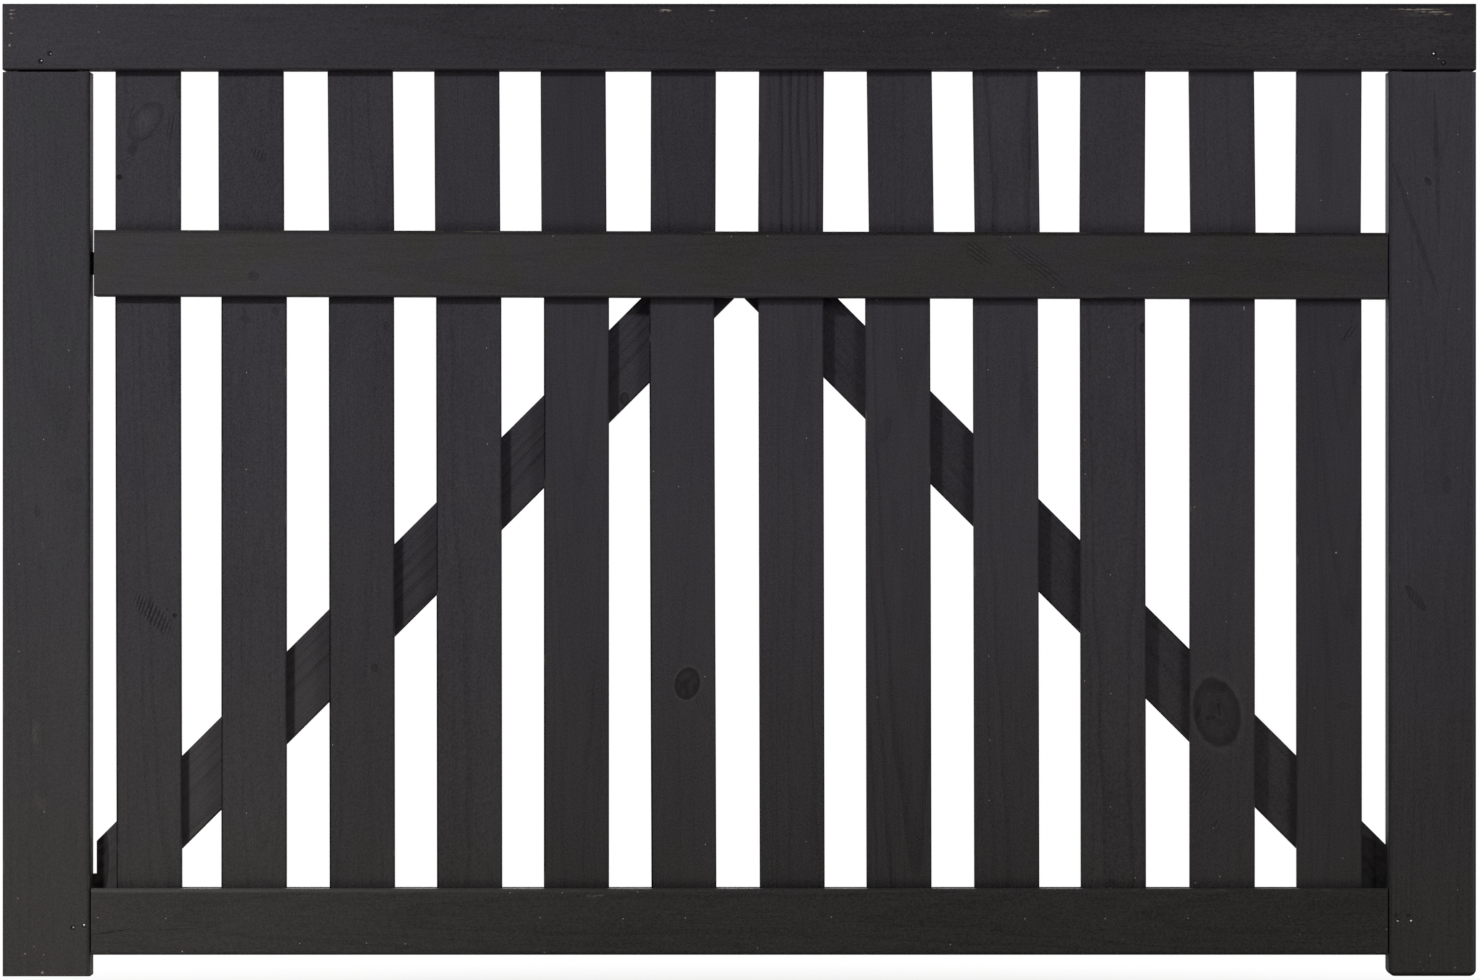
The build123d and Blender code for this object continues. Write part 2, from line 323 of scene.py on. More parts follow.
def stained_pine(board, pith, ring_gap, taper=0.005, figure=0.3, tone=(1.0, 1.0), tone_reach=0.1,
                 specks=0.0, foot_shade=0.0, stains=(COOL_STAIN, WARM_STAIN), arrises=(), knots=(), torn=(),
                 rubs=()):
    """Stains one board: growth rings about its pith, fibres, knots, torn grain, arrises and rubbed places.

    The pith lies that far across and behind the board's middle. The tone, partly the board's own and
    partly painted light and shade, goes from the board's foot or left end to its head, which is reached
    at a share of the half length past the middle. Arrises are bands painted lighter or darker along an
    edge, most of them painted highlight and painted shade: (side, reach in from the edge, tone at the foot
    or left end, tone from the middle on), with side -1 for a board's left or upper edge and +1 for the
    other one. Knots are (x, z, half width, half length, tilt, darkness of the rim, darkness of the heart,
    push on the grain), and a few of them are patches of painted shade; torn grain is (x, z, half width,
    half length, tilt, lean of its strokes, strength), and rubs are (x, z, half width, half length along
    the grain, strength). Tilts and leans are degrees from upright, to the right at the top.
    """
    lie = lie_of(board)
    half = lie.half
    seed = sum(lie.middle) * SEED_SPREAD
    material = bpy.data.materials.new("stained_" + board)
    material.use_nodes = True
    tree = material.node_tree
    on_object = stain_node(tree, "TexCoord", {}).outputs["Object"]
    sockets = {"Vector": on_object, "Location": lie.middle, "Rotation": (0, lie.turn, 0)}
    place = stain_node(tree, "Mapping", sockets, vector_type="TEXTURE").outputs[0]
    seeded = stain_offset(tree, "ADD", place, (seed, seed * 0.7, seed * 0.3))
    on_board = stain_node(tree, "SeparateXYZ", {0: place}).outputs
    across, along = on_board["X"], on_board["Z"]

    # The board's tone, partly its own and partly painted light and shade, with its rings, its fibres,
    # the tooth of the planed face and cloudy places
    ripple = grain_noise(tree, seeded, RIPPLE_SWINGS)["Fac"]
    fibre = grain_noise(tree, seeded, FIBRE_SWINGS)["Fac"]
    tooth = grain_noise(tree, seeded, TOOTH_SWINGS, detail=1.0)["Fac"]
    cloud = grain_noise(tree, seeded, CLOUD_SWINGS, detail=1.0)["Fac"]
    grown, knot_reaches = part_grain(tree, lie, place, knots)
    late_wood = growth_rings(tree, grown, seeded, along, ripple, pith, ring_gap, taper)
    fibre_show = FIBRE_SHOW * (0.5 + figure)
    even = (fibre_show + TOOTH_SHOW + CLOUD_SHOW) / 2
    shade = stain_fade(tree, along, -half.z, tone_reach * half.z, tone[0] - even, tone[1] - even)
    for texture, show in ((late_wood, -LATE_WOOD_DARKER * figure), (fibre, fibre_show),
                          (tooth, TOOTH_SHOW), (cloud, CLOUD_SHOW)):
        shade = stain_sum(tree, "MULTIPLY_ADD", texture, show, shade)
    height = stain_sum(tree, "MULTIPLY_ADD", tooth, TOOTH_DEPTH, fibre)
    knife_marks = stain_sum(tree, "SINE", stain_sum(tree, "MULTIPLY", along, math.tau / PLANER_PITCH))
    height = stain_sum(tree, "MULTIPLY_ADD", knife_marks, PLANER_DEPTH, height)
    shade, height = tear_grain(tree, lie, place, ripple, tooth, torn, shade, height)

    # Edges painted lighter or darker, most of it painted highlight and painted shade, and slat feet
    # painted darker as shade just above the rails
    for side, reach_in, start, end in arrises:
        from_edge = stain_sum(tree, "MULTIPLY_ADD", across, -side, half.x)
        band = stain_fade(tree, from_edge, reach_in, 0.6 * reach_in)
        painted_edge_tone = stain_fade(tree, along, -half.z, 0.0, start, end)
        shade = stain_sum(tree, "MULTIPLY_ADD", band, painted_edge_tone, shade)
    # Painted shade at a slat's foot, just above the rail that holds it
    if foot_shade:
        foot = stain_fade(tree, along, FOOT_SHADE_NONE - half.z, FOOT_SHADE_FULL - half.z, 0.0, -foot_shade)
        shade = stain_sum(tree, "ADD", shade, foot)

    # The stain's colour, browner towards the ground, and what shows in it
    patches = grain_noise(tree, seeded, PATCH_SWINGS, detail=2.0)["Fac"]
    colour = stain_blend(tree, stain_fade(tree, patches, 0.30, 0.70), *stains)
    level = stain_node(tree, "SeparateXYZ", {0: on_object}).outputs["Z"]
    colour = stain_blend(tree, stain_fade(tree, level, SPLASH_TOP, SPLASH_FOOT), colour, SPLASHED_STAIN)
    colour = stain_blend(tree, 1.0, colour, shade, "MULTIPLY")
    colour = stain_knots(tree, seeded, knot_reaches, colour)
    sides = stain_node(tree, "VectorMath", {0: place}, operation="ABSOLUTE").outputs["Vector"]
    inset = stain_node(tree, "SeparateXYZ", {0: stain_offset(tree, "SUBTRACT", half, sides)}).outputs
    colour = wear_arrises_shade_recesses(tree, seeded, inset, colour)
    colour = miss_specks(tree, seed, on_board, inset, specks, colour)
    colour = rub_bare(tree, lie, place, seeded, rubs, colour)

    # Satin film, duller in the hollows between the fibres
    shader = tree.nodes["Principled BSDF"]
    roughness = stain_fade(tree, tooth, 0.3, 0.7, DULL_FILM, SATIN_FILM)
    sockets = {"Strength": FIBRE_BUMP, "Distance": FIBRE_DEPTH, "Height": height}
    bump = stain_node(tree, "Bump", sockets)
    tree.links.new(colour, shader.inputs["Base Color"])
    tree.links.new(roughness, shader.inputs["Roughness"])
    tree.links.new(bump.outputs["Normal"], shader.inputs["Normal"])
    shader.inputs["Specular IOR Level"].default_value = SATIN_SHEEN

    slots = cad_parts[board].data.materials
    slots.clear()
    slots.append(material)


# The stiles' tones, from foot to head, are partly their own and partly painted light and shade
STILE_TONE_REACH = 1.0
ARRIS_BAND = 0.0048             # how far in from an edge the painted highlight and shade reach
stained_pine("left_stile", pith=(0.012, 0.062), ring_gap=0.0036, taper=0.012, figure=0.35,
             tone=(1.12, 1.00), tone_reach=STILE_TONE_REACH, specks=0.06, stains=(GREY_STAIN, WARM_STAIN),
             # Its inner edge is painted darker, as shade
             arrises=((1, ARRIS_BAND, -0.20, -0.20),),
             knots=((0.075, 0.040, 0.011, 0.008, 20, 0.18, 0.10, 0.5),
                    (0.036, 0.013, 0.003, 0.006, 0, 0.35, 0.30, 0.4),
                    # Painted shade round the brads, in and just round their seats
                    (0.0722, -0.4146, 0.0026, 0.0026, 0, 0.7, 0.7, 0.0),
                    (0.0840, -0.4126, 0.0026, 0.0026, 0, 0.7, 0.7, 0.0)),
             torn=((0.031, 0.456, 0.012, 0.004, 0, 60, 0.10),),
             rubs=((0.034, -0.216, 0.005, 0.018, 0.05), (0.041, -0.287, 0.006, 0.008, 0.04),
                   (0.042, -0.022, 0.002, 0.007, 0.08), (0.0233, -0.4416, 0.0010, 0.0009, 0.7),
                   (0.0325, -0.4344, 0.0008, 0.0008, 0.4), (0.0425, -0.4426, 0.0009, 0.0009, 0.4),
                   (0.0418, -0.4608, 0.0030, 0.0018, 0.5)))
stained_pine("right_stile", pith=(0.004, 0.030), ring_gap=0.0026, taper=0.012, figure=0.4,
             tone=(0.92, 1.28), tone_reach=STILE_TONE_REACH, specks=0.08, stains=(COOL_STAIN, COOL_STAIN),
             # Its outer edge is painted lighter, as a highlight, and its inner edge darker, as shade
             arrises=((1, ARRIS_BAND, 0.35, 0.35), (-1, ARRIS_BAND, -0.20, -0.20)),
             knots=((1.4654, 0.3526, 0.003, 0.005, -35, 0.50, 0.45, 0.5),
                    (1.485, 0.040, 0.005, 0.009, 0, 0.25, 0.2, 0.6),
                    (1.4520, 0.3043, 0.0028, 0.073, -19, 0.26, 0.26, 0.0),
                    (1.4745, 0.370, 0.0026, 0.075, -2, 0.28, 0.28, 0.4),
                    (1.4525, -0.0760, 0.0046, 0.0165, -39, 0.45, 0.26, 0.4),
                    (1.4860, -0.118, 0.0020, 0.050, -5, 0.18, 0.18, 0.3),
                    # Painted shade round the brads, in and just round their seats
                    (1.4322, -0.4023, 0.0024, 0.0024, 0, 0.7, 0.7, 0.0),
                    (1.4450, -0.4023, 0.0024, 0.0024, 0, 0.7, 0.7, 0.0)),
             torn=((1.4525, -0.0760, 0.0050, 0.0165, -39, 20, 0.16),),
             rubs=((1.4675, -0.4432, 0.0008, 0.0016, 0.5), (1.4574, -0.4497, 0.0008, 0.0008, 0.35),
                   (1.4605, -0.4579, 0.0008, 0.0008, 0.4), (1.4934, -0.4559, 0.0008, 0.0010, 0.45),
                   (1.4670, 0.4615, 0.0440, 0.0035, 0.03)))

# Top rail
# The long board laid over both stile heads, mortised to take their tenons and grooved below for the slats.
# Its top edge was stacked on laths while the stain dried, so small bare places are left along it.

stained_pine("top_rail", pith=(-0.014, 0.070), ring_gap=0.0030, taper=0.008, figure=0.3,
             # Its tone along its length is painted light, lighter towards its left end
             tone=(1.00, 0.77), specks=0.14, stains=(WARM_STAIN, WARM_STAIN),
             # Painted shade along its upper edge and a painted highlight along its lower edge
             arrises=((-1, ARRIS_BAND, -0.10, -0.28), (1, ARRIS_BAND, 0.10, 0.18)),
             # Painted shade round the brads, in and just round their seats
             knots=((0.0393, 0.4757, 0.0030, 0.0030, 0, 0.85, 0.85, 0.0),
                    (0.0486, 0.4840, 0.0030, 0.0030, 0, 0.85, 0.85, 0.0),
                    (1.4716, 0.4833, 0.0032, 0.0030, 0, 0.85, 0.85, 0.0),
                    (1.4812, 0.4741, 0.0032, 0.0030, 0, 0.85, 0.85, 0.0)),
             rubs=((0.680, 0.528, 0.0016, 0.009, 0.8), (0.728, 0.528, 0.0009, 0.006, 0.45),
                   (1.066, 0.5275, 0.0013, 0.013, 0.5), (1.050, 0.525, 0.0060, 0.036, 0.08),
                   (1.452, 0.5292, 0.0009, 0.030, 0.7), (1.470, 0.5266, 0.0009, 0.020, 0.55),
                   (1.482, 0.5240, 0.0010, 0.014, 0.40), (1.462, 0.525, 0.0050, 0.032, 0.06),
                   (0.010, 0.5288, 0.0010, 0.0036, 1.0), (0.010, 0.5247, 0.0010, 0.0036, 1.0),
                   (0.010, 0.5201, 0.0009, 0.0028, 0.8), (0.010, 0.5047, 0.0009, 0.0030, 0.7),
                   (0.0075, 0.4923, 0.0014, 0.0014, 1.0), (1.0717, 0.4877, 0.0011, 0.0013, 0.8),
                   (1.0851, 0.4885, 0.0009, 0.0010, 0.5), (1.0810, 0.4785, 0.0010, 0.0014, 0.6),
                   (1.0851, 0.4692, 0.0010, 0.0016, 0.7), (1.3071, 0.4795, 0.0009, 0.0011, 0.5),
                   # The long faint one at 1.360 is painted light, lightening the rail's right part
                   (1.360, 0.501, 0.034, 0.22, 0.030), (0.7644, 0.5201, 0.0009, 0.0010, 0.6),
                   (0.7294, 0.5170, 0.0008, 0.0009, 0.35)))

# Middle rail
# Tenoned between the stiles and grooved on both edges for the two rows of slats.
# It was cut a little short, so its left shoulder stands off the stile and shows the tenon.

stained_pine("middle_rail", pith=(0.010, 0.058), ring_gap=0.0034, taper=0.010, figure=0.35,
             # Its tone along its length is painted light, lighter towards its left end
             tone=(1.15, 0.93), specks=0.04, stains=(WARM_STAIN, SPLASHED_STAIN),
             # Painted shade along its upper edge and a painted highlight along its lower edge
             arrises=((-1, ARRIS_BAND, -0.35, -0.45), (1, ARRIS_BAND, 0.10, 0.18)),
             knots=((0.258, 0.255, 0.006, 0.005, 0, 0.35, 0.30, 0.5),),
             torn=((1.0593, 0.2692, 0.010, 0.044, 126, 126, 0.26),
                   (1.0028, 0.2786, 0.010, 0.020, 130, 126, 0.30)))

# Bottom rail
# Tenoned into both stiles a little above their feet, with a groove along its top edge for the long slats.
# A fine drying split runs in from its left end.

stained_pine("bottom_rail", pith=(-0.008, 0.064), ring_gap=0.0032, taper=0.010, figure=0.35,
             # Its tone along its length is painted light, lighter towards its left end
             tone=(1.05, 0.72), specks=0.14,
             # A painted highlight along its upper edge, strongest at the left, and painted shade along its
             # lower edge
             arrises=((-1, ARRIS_BAND, 0.60, 0.05), (1, ARRIS_BAND, -0.10, -0.12)),
             knots=((0.110, -0.4195, 0.0007, 0.024, 81, 0.75, 0.75, 0.0),
                    (0.175, -0.4165, 0.0005, 0.050, 87, 0.4, 0.4, 0.0)),
             rubs=((0.611, -0.382, 0.002, 0.014, 0.12), (0.557, -0.440, 0.0011, 0.0014, 0.4),
                   (0.635, -0.432, 0.0011, 0.0013, 0.4), (0.776, -0.436, 0.0011, 0.0013, 0.4),
                   (1.4140, -0.4405, 0.0010, 0.0012, 0.5), (1.4225, -0.4165, 0.0010, 0.0010, 0.35),
                   (0.1850, -0.4392, 0.0011, 0.0011, 0.8), (1.1519, -0.4272, 0.0008, 0.0008, 0.4),
                   (1.3338, -0.4216, 0.0008, 0.0008, 0.4), (1.3569, -0.4292, 0.0008, 0.0008, 0.4)))

# Slats
# Planed boards standing in the rails' grooves, a short row above the middle rail and a long row below it.
# They were cut from different planks, so the width and run of the growth rings change from slat to slat.

SLAT_COUNT = 12
FOOT_SHADE = 0.35                # how much darker a slat's foot is painted, as shade just above the rail
SLAT_TONE_REACH = 0.4
DARK_LINE = ((-1, 0.0022, -0.70, -0.70),)       # a dark line along the left arris
DARK_LINE_SLATS = 6             # so many of the long slats, from the left, have it
WIDE_RINGED_UPPER = 7           # slats whose figure stands out, counted from the left
BOLD_UPPER = 9
ARCHED_LOWER = 8
STRAIGHT_LOWER = 10
# Tones, partly the slats' own and partly painted light and shade, set to how brightly each slat is lit
upper_tones = (1.05, 0.95, 1.00, 0.95, 0.95, 0.95, 1.05, 1.05, 1.20, 1.10, 1.15, 1.25)
lower_foot_tones = (1.10, 1.10, 0.95, 0.95, 0.85, 0.90, 0.80, 0.80, 0.80, 0.95, 0.90, 0.90)
lower_head_tones = (1.05, 1.05, 0.95, 1.05, 1.00, 1.10, 1.05, 1.05, 1.15, 1.05, 1.10, 1.00)
upper_knots = {
    1: ((0.1461, 0.4143, 0.0135, 0.024, 40, 0.34, 0.0, 0.5),
        (0.1196, 0.3572, 0.003, 0.003, 0, 0.9, 0.9, 0.3),
        (0.1779, 0.4482, 0.004, 0.011, 5, 0.55, 0.45, 0.4),
        (0.1332, 0.3870, 0.0055, 0.008, 30, 0.22, 0.32, 0.0)),
}
upper_torn = {
    1: ((0.1718, 0.4071, 0.0070, 0.016, 5, 8, 0.28), (0.1291, 0.3742, 0.006, 0.012, 25, 60, 0.15),
        (0.1507, 0.3999, 0.0030, 0.014, 62, 62, 0.25), (0.1322, 0.4225, 0.003, 0.011, 17, 17, 0.30)),
    2: ((0.2617, 0.3808, 0.0055, 0.0145, -54, 20, 0.34),),
}
upper_rubs = {
    1: ((0.1450, 0.4150, 0.010, 0.016, 0.035),),
}
lower_knots = {
    1: ((0.1763, -0.0938, 0.0023, 0.0023, 0, 0.95, 0.95, 0.3),
        (0.1682, -0.0879, 0.0013, 0.0013, 0, 0.6, 0.6, 0.0)),
    2: ((0.249, 0.211, 0.006, 0.003, 20, 0.30, 0.30, 0.3),
        (0.280, 0.219, 0.003, 0.005, -20, 0.50, 0.45, 0.3)),
    3: ((0.394, 0.204, 0.003, 0.005, 0, 0.45, 0.40, 0.3),
        (0.382, -0.148, 0.004, 0.0045, 0, 0.50, 0.50, 0.5)),
    6: ((0.704, -0.164, 0.0125, 0.0165, 15, 0.80, 0.62, 0.75),),
    8: ((0.907, 0.096, 0.006, 0.015, 20, 0.22, 0.18, 0.5),),
    10: ((1.1735, 0.202, 0.004, 0.006, 0, 0.80, 0.80, 0.5),),
    11: ((1.2491, -0.1939, 0.0235, 0.035, -12, 0.64, 0.38, 0.8),
         (1.2514, -0.1910, 0.0015, 0.0072, -10, 0.8, 0.8, 0.0),
         (1.2300, -0.1932, 0.0030, 0.0080, 10, 0.50, 0.50, 0.0),
         (1.2423, -0.1994, 0.0060, 0.0022, -8, 0.55, 0.55, 0.0),
         (1.2495, -0.1686, 0.0120, 0.0060, 0, 0.30, 0.35, 0.0),
         (1.2629, -0.2190, 0.0070, 0.0110, -30, 0.22, 0.25, 0.0)),
    12: ((1.380, -0.187, 0.008, 0.004, 0, 0.22, 0.20, 0.4),),
}
lower_torn = {
    1: ((0.1538, -0.0930, 0.0110, 0.032, -44, 20, 0.48),),
    5: ((0.604, -0.253, 0.006, 0.006, 30, 30, 0.12),),
    6: ((0.720, -0.185, 0.008, 0.020, -20, -15, 0.14),),
    11: ((1.2362, -0.2590, 0.0100, 0.027, 0, 35, 0.17), (1.2475, -0.3104, 0.005, 0.010, 0, 25, 0.20),
         (1.257, -0.136, 0.008, 0.006, 50, 50, 0.14)),
    12: ((1.3862, 0.1974, 0.0046, 0.0135, 47, 35, 0.32),),
}
lower_rubs = {
    11: ((1.2773, 0.2220, 0.0010, 0.0028, 1.0), (1.2459, -0.3129, 0.0011, 0.0011, 1.0),
         (1.2680, -0.0725, 0.0008, 0.0008, 0.4), (1.2588, -0.1003, 0.0008, 0.0008, 0.4),
         (1.2505, -0.3614, 0.0008, 0.0008, 0.4)),
    12: ((1.3718, -0.0294, 0.0010, 0.0010, 0.9), (1.3646, -0.2247, 0.0008, 0.0008, 0.4),
         (1.3785, -0.3439, 0.0008, 0.0008, 0.4)),
}


def plank(number, row):
    """Pith, ring gap and figure of the plank that a slat was cut from, spread evenly over the slats."""
    turn = (number * 0.618 + row * 0.37) % 1.0
    swing = (number * 0.414 + row * 0.21) % 1.0
    return (0.05 * (turn - 0.5), 0.040 + 0.045 * swing), 0.0026 + 0.0022 * swing, 0.20 + 0.25 * turn


for number in range(1, SLAT_COUNT + 1):
    pith, ring_gap, figure = plank(number, 0)
    if number == WIDE_RINGED_UPPER:
        pith, ring_gap, figure = (-0.055, 0.030), 0.0072, 1.5
    if number == BOLD_UPPER:
        figure = 1.0
    tone = upper_tones[number - 1]
    stained_pine(f"upper_slat_{number:02d}", pith, ring_gap, figure=figure, tone=(tone, tone),
                 specks=0.03, foot_shade=FOOT_SHADE, knots=upper_knots.get(number, ()),
                 torn=upper_torn.get(number, ()), rubs=upper_rubs.get(number, ()))
    pith, ring_gap, figure = plank(number, 1)
    taper = 0.006
    if number == ARCHED_LOWER:
        pith, ring_gap, figure, taper = (0.014, 0.040), 0.0065, 0.6, 0.02
    if number == STRAIGHT_LOWER:
        figure, taper = 0.6, 0.0
    stained_pine(f"lower_slat_{number:02d}", pith, ring_gap, taper=taper, figure=figure,
                 tone=(lower_foot_tones[number - 1], lower_head_tones[number - 1]),
                 tone_reach=SLAT_TONE_REACH, specks=0.02 + 0.006 * number, foot_shade=FOOT_SHADE,
                 arrises=DARK_LINE if number <= DARK_LINE_SLATS else (),
                 knots=lower_knots.get(number, ()), torn=lower_torn.get(number, ()),
                 rubs=lower_rubs.get(number, ()))

# Braces
# Two boards laid behind the long slats, from the feet of the frame up to the middle of the middle rail.
# Their ends are cut to fit the corners, and they are pinned to the slats from behind.
# Their toes are painted darker, as shade down in the corners of the frame.

stained_pine("left_brace", pith=(0.020, 0.036), ring_gap=0.0052, taper=0.006, figure=1.0,
             # Its tone is painted light, much lighter towards its foot
             tone=(1.50, 1.03),
             knots=((0.639, 0.129, 0.005, 0.007, 0, 0.70, 0.60, 0.7),
                    # A long dark patch of painted shade at its toe, given as a knot
                    (0.0972, -0.3453, 0.010, 0.040, 0, 0.60, 0.60, 0.0)))
stained_pine("right_brace", pith=(-0.016, 0.042), ring_gap=0.0044, taper=0.006, figure=0.5,
             # Its tone, partly painted light and shade, darkens towards its head
             tone=(1.00, 0.84),
             # A dark patch of painted shade at its toe, given as a knot
             knots=((1.413, -0.365, 0.030, 0.060, -45, 0.62, 0.62, 0.0),))

# Brads
# Small zinc-coated steel pins, shot through the tenons from the front and through the braces from behind.
# Their heads lie in punched seats, with black stain left on them where it ran in.

HEAD_RADIUS = 0.0012
HEAD_THICKNESS = 0.0006
HEAD_DOME = 0.0003
SHANK_RADIUS = 0.0007
SHANK_LENGTH = 0.022
POINT_LENGTH = 0.003
SEAT_DEPTH = 0.0012
SEAT_SPAN = 0.004                # no seat's floor is wider than this
SEAT_SLACK = 1e-5                # how far off its level a point of a seat's floor may be
BRAD_TURNS = 16
BRAD_MERGE = 1e-6
FROM_FRONT, FROM_BEHIND = 1, -1
ZINC = (0.50, 0.49, 0.47, 1.0)
DULL_ZINC = (0.26, 0.25, 0.24, 1.0)
SPANGLE_SWINGS = (900.0, 900.0)
SMEAR_SWINGS = (420.0, 420.0)
STAINED_HEAD_SHEEN = 0.2


def brad_seats(board, face_y, inward):
    """Middles of the round seat floors that lie just under one face of a board."""
    floor_y = face_y + inward * SEAT_DEPTH
    rims = []
    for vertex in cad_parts[board].data.vertices:
        if abs(vertex.co.y - floor_y) > SEAT_SLACK:
            continue
        for rim in rims:
            if (rim[0] - vertex.co).length < SEAT_SPAN:
                rim.append(vertex.co.copy())
                break
        else:
            rims.append([vertex.co.copy()])
    round_rims = [rim for rim in rims if len(rim) > BRAD_TURNS / 2]
    middles = []
    for rim in round_rims:
        low, high = box_of(rim)
        middles.append((low + high) / 2)
    return middles


def stained_zinc(name, cover):
    """Spangled zinc, with a share of it covered by stain."""
    zinc = bpy.data.materials.new("zinc_of_" + name)
    zinc.use_nodes = True
    tree = zinc.node_tree
    shader = tree.nodes["Principled BSDF"]
    place = stain_node(tree, "TexCoord", {}).outputs["Object"]
    spangle = grain_noise(tree, place, SPANGLE_SWINGS, detail=2.0)["Fac"]
    smear = grain_noise(tree, place, SMEAR_SWINGS, detail=1.0)["Fac"]
    stained = stain_fade(tree, smear, 0.70 - 0.4 * cover, 0.80 - 0.4 * cover)
    spangled = stain_blend(tree, stain_fade(tree, spangle, 0.3, 0.7), DULL_ZINC, ZINC)
    tree.links.new(stain_blend(tree, stained, spangled, COOL_STAIN), shader.inputs["Base Color"])
    tree.links.new(stain_fade(tree, stained, 0.0, 1.0, 1.0, 0.0), shader.inputs["Metallic"])
    tree.links.new(stain_fade(tree, spangle, 0.2, 0.8, 0.30, 0.55), shader.inputs["Roughness"])
    shader.inputs["Specular IOR Level"].default_value = STAINED_HEAD_SHEEN
    return zinc


def drive_brads(name, seats, inward, cover):
    """Turns a brad in each seat: domed head, round shank and drawn-out point."""
    profile = ((0.0, -HEAD_THICKNESS - HEAD_DOME), (0.6 * HEAD_RADIUS, -HEAD_THICKNESS - 0.8 * HEAD_DOME),
               (HEAD_RADIUS, -HEAD_THICKNESS), (HEAD_RADIUS, 0.0), (SHANK_RADIUS, 0.0),
               (SHANK_RADIUS, SHANK_LENGTH - POINT_LENGTH), (0.0, SHANK_LENGTH))
    brads = bmesh.new()
    for seat in seats:
        turned = []
        for radius, depth in profile:
            turned.append(brads.verts.new(seat + Vector((radius, inward * depth, 0.0))))
        line = [brads.edges.new(pair) for pair in zip(turned, turned[1:])]
        bmesh.ops.spin(brads, geom=turned + line, cent=seat, axis=(0.0, 1.0, 0.0), angle=math.tau,
                       steps=BRAD_TURNS, use_merge=True)
    bmesh.ops.remove_doubles(brads, verts=brads.verts, dist=BRAD_MERGE)
    bmesh.ops.recalc_face_normals(brads, faces=brads.faces)
    data = bpy.data.meshes.new(name)
    brads.to_mesh(data)
    brads.free()
    data.materials.append(stained_zinc(name, cover))
    piece = bpy.data.objects.new(name, data)
    bpy.context.scene.collection.objects.link(piece)
    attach(piece, "root")


front_y, back_y = cad_box[0][1], cad_box[1][1]
gate_middle = (cad_box[0][0] + cad_box[1][0]) / 2
head_seats = brad_seats("top_rail", front_y, FROM_FRONT)
top_left_seats = [seat for seat in head_seats if seat.x < gate_middle]
top_right_seats = [seat for seat in head_seats if seat.x > gate_middle]
left_foot_seats = brad_seats("left_stile", front_y, FROM_FRONT)
right_foot_seats = brad_seats("right_stile", front_y, FROM_FRONT)
brace_seats = brad_seats("left_brace", back_y, FROM_BEHIND) + brad_seats("right_brace", back_y, FROM_BEHIND)
drive_brads("top_left_brads", top_left_seats, FROM_FRONT, cover=1.0)
drive_brads("top_right_brads", top_right_seats, FROM_FRONT, cover=0.70)
drive_brads("left_foot_brads", left_foot_seats, FROM_FRONT, cover=0.45)
drive_brads("right_foot_brads", right_foot_seats, FROM_FRONT, cover=0.50)
drive_brads("brace_brads", brace_seats, FROM_BEHIND, cover=0.50)

# Floor
# A pale studio floor under the hung leaf, round, and lost in the white background towards its rim.
# It takes the leaf's shadow and gives a little light back from below.

FLOOR_DROP = 0.06
FLOOR_RADIUS = 2.5
FLOOR_MIDDLE = Vector((gate_middle, -1.2, cad_box[0][2] - FLOOR_DROP))
FLOOR_PALE = (0.68, 0.65, 0.61, 1.0)
FLOOR_SIDES = 96
FADE_START, FADE_END = 0.45, 0.98       # shares of the floor's radius, from its own colour to white
WHITE = (1.0, 1.0, 1.0, 1.0)


def seen_share(tree):
    """1 for what the camera sees, also in a gloss or through glass, and 0 for light on the gate."""
    rays = stain_node(tree, "LightPath", {}).outputs
    seen = stain_sum(tree, "ADD", rays["Is Camera Ray"], rays["Is Glossy Ray"])
    return stain_sum(tree, "ADD", seen, rays["Is Transmission Ray"])


floor_mesh = bmesh.new()
bmesh.ops.create_circle(floor_mesh, cap_ends=True, segments=FLOOR_SIDES, radius=FLOOR_RADIUS,
                        matrix=Matrix.Translation(FLOOR_MIDDLE))
floor_data = bpy.data.meshes.new("studio_floor")
floor_mesh.to_mesh(floor_data)
floor_mesh.free()
floor = bpy.data.objects.new("studio_floor", floor_data)
bpy.context.scene.collection.objects.link(floor)

floor_paint = bpy.data.materials.new("floor_paint")
floor_paint.use_nodes = True
floor_tree = floor_paint.node_tree
floor_shader = floor_tree.nodes["Principled BSDF"]
floor_shader.inputs["Base Color"].default_value = FLOOR_PALE
floor_shader.inputs["Roughness"].default_value = 0.8
floor_shader.inputs["Specular IOR Level"].default_value = 0.1
floor_place = stain_node(floor_tree, "TexCoord", {}).outputs["Object"]
floor_place = stain_offset(floor_tree, "SUBTRACT", floor_place, FLOOR_MIDDLE)
from_middle = stain_offset(floor_tree, "LENGTH", floor_place)
fade = stain_fade(floor_tree, from_middle, FADE_START * FLOOR_RADIUS, FADE_END * FLOOR_RADIUS)
lost = stain_sum(floor_tree, "MULTIPLY", fade, seen_share(floor_tree))
white = stain_node(floor_tree, "Emission", {"Color": WHITE, "Strength": 1.0}).outputs[0]
floor_mix = stain_node(floor_tree, "MixShader", {0: lost, 1: floor_shader.outputs[0], 2: white}).outputs[0]
floor_tree.links.new(floor_mix, floor_tree.nodes["Material Output"].inputs["Surface"])
floor_data.materials.append(floor_paint)
floor_paint.cycles.emission_sampling = "NONE"

# Studio light
# A small lamp high on the left for the sharp shadows beside the slats, a larger and weaker one on the
# right, a soft one behind the gate for its back, and a white background.


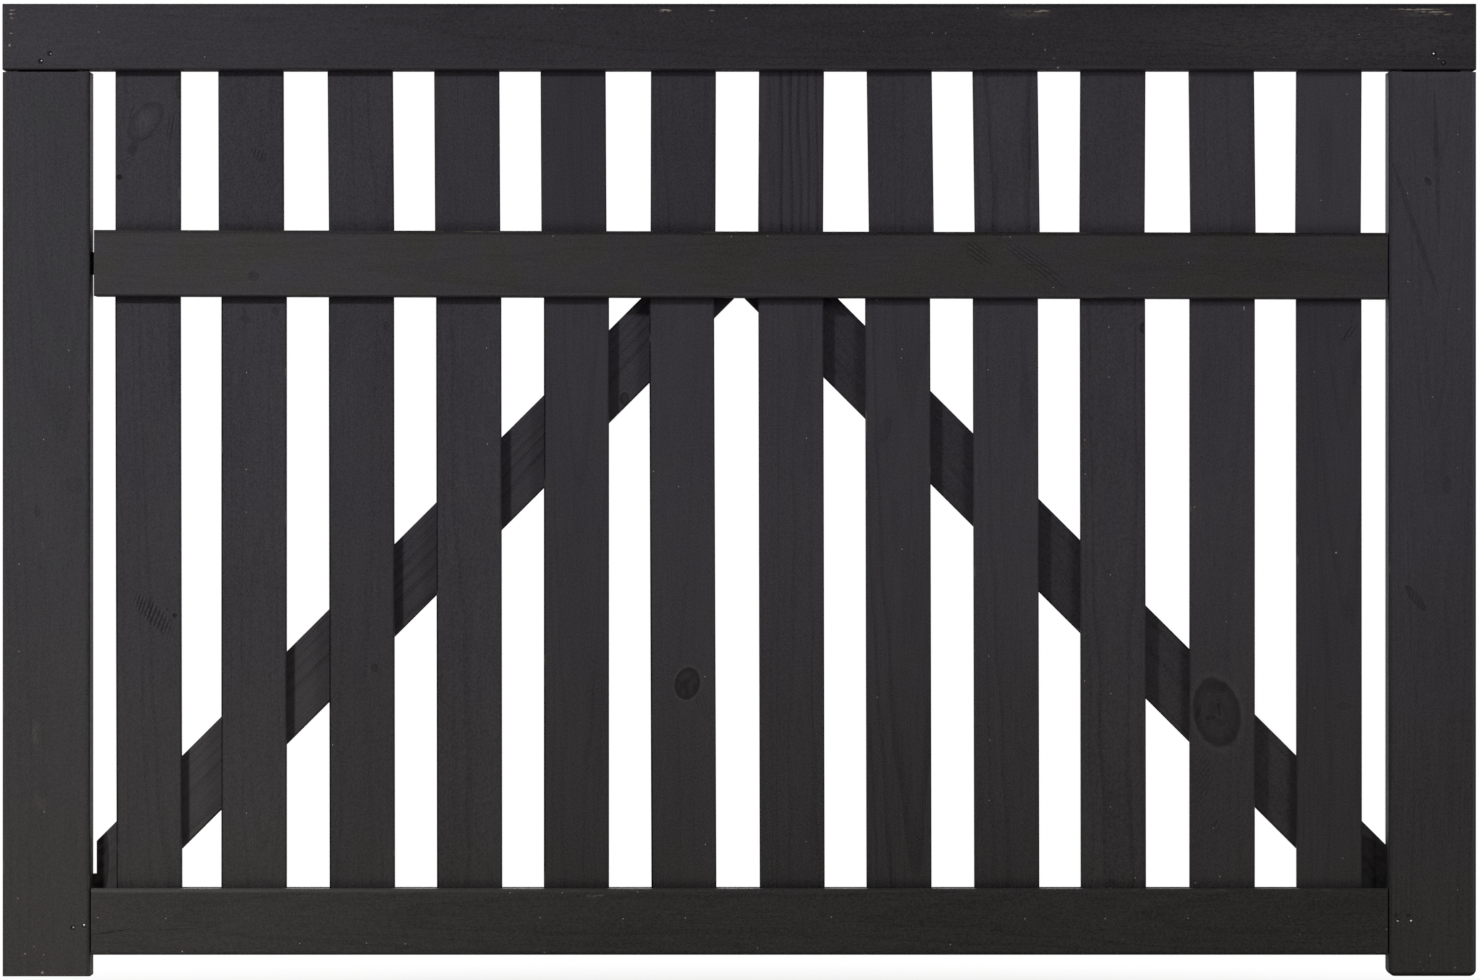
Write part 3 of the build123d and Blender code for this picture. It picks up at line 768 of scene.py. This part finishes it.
def studio_lamp(name, spot, aim, size, power, spread):
    """A round lamp that points at a place on the gate."""
    light = bpy.data.lights.new(name, "AREA")
    light.shape = "DISK"
    light.size = size
    light.energy = power
    light.spread = math.radians(spread)
    lamp = bpy.data.objects.new(name, light)
    lamp.location = spot
    lamp.rotation_euler = (Vector(aim) - Vector(spot)).to_track_quat("-Z", "Y").to_euler()
    lamp.visible_camera = False
    bpy.context.scene.collection.objects.link(lamp)


studio_lamp("left_lamp", (-0.88, -2.12, 1.65), aim=(0.0, 0.0, -0.35), size=0.32, power=18.6, spread=96)
studio_lamp("right_lamp", (2.45, -2.0, 0.9), aim=(1.35, 0.0, 0.0), size=0.9, power=8.5, spread=110)
studio_lamp("rear_lamp", (0.5, 2.9, 1.5), aim=(0.75, 0.0, 0.15), size=1.6, power=10.0, spread=60)

AMBIENT = 0.09
world = bpy.data.worlds.new("white_studio")
world.use_nodes = True
sky = world.node_tree
dim = sky.nodes["Background"]
dim.inputs["Color"].default_value = WHITE
dim.inputs["Strength"].default_value = AMBIENT
bright = stain_node(sky, "Background", {"Color": WHITE, "Strength": 1.0}).outputs[0]
sky_mix = stain_node(sky, "MixShader", {0: seen_share(sky), 1: dim.outputs[0], 2: bright}).outputs[0]
sky.links.new(sky_mix, sky.nodes["World Output"].inputs["Surface"])
world.cycles.sampling_method = "NONE"
bpy.context.scene.world = world
bpy.context.scene.view_settings.view_transform = "Standard"

# Camera
# Level and square to the gate's front, as the leaf was photographed.
# It stands far off behind a long lens, so the boards' sides hardly show.

IMAGE_METRES = 1.5213           # width of the picture at the gate's front face
CAMERA_AWAY = 8.0
CAMERA_ASIDE = 0.0007           # to the right of the gate's middle
camera_data = bpy.data.cameras.new("camera")
camera_data.sensor_width = 36.0
camera_data.lens = camera_data.sensor_width * CAMERA_AWAY / IMAGE_METRES
camera = bpy.data.objects.new("camera", camera_data)
camera_level = (cad_box[0][2] + cad_box[1][2]) / 2
camera.location = (gate_middle + CAMERA_ASIDE, front_y - CAMERA_AWAY, camera_level)
camera.rotation_euler = (math.radians(90), 0.0, 0.0)
bpy.context.scene.collection.objects.link(camera)
bpy.context.scene.camera = camera
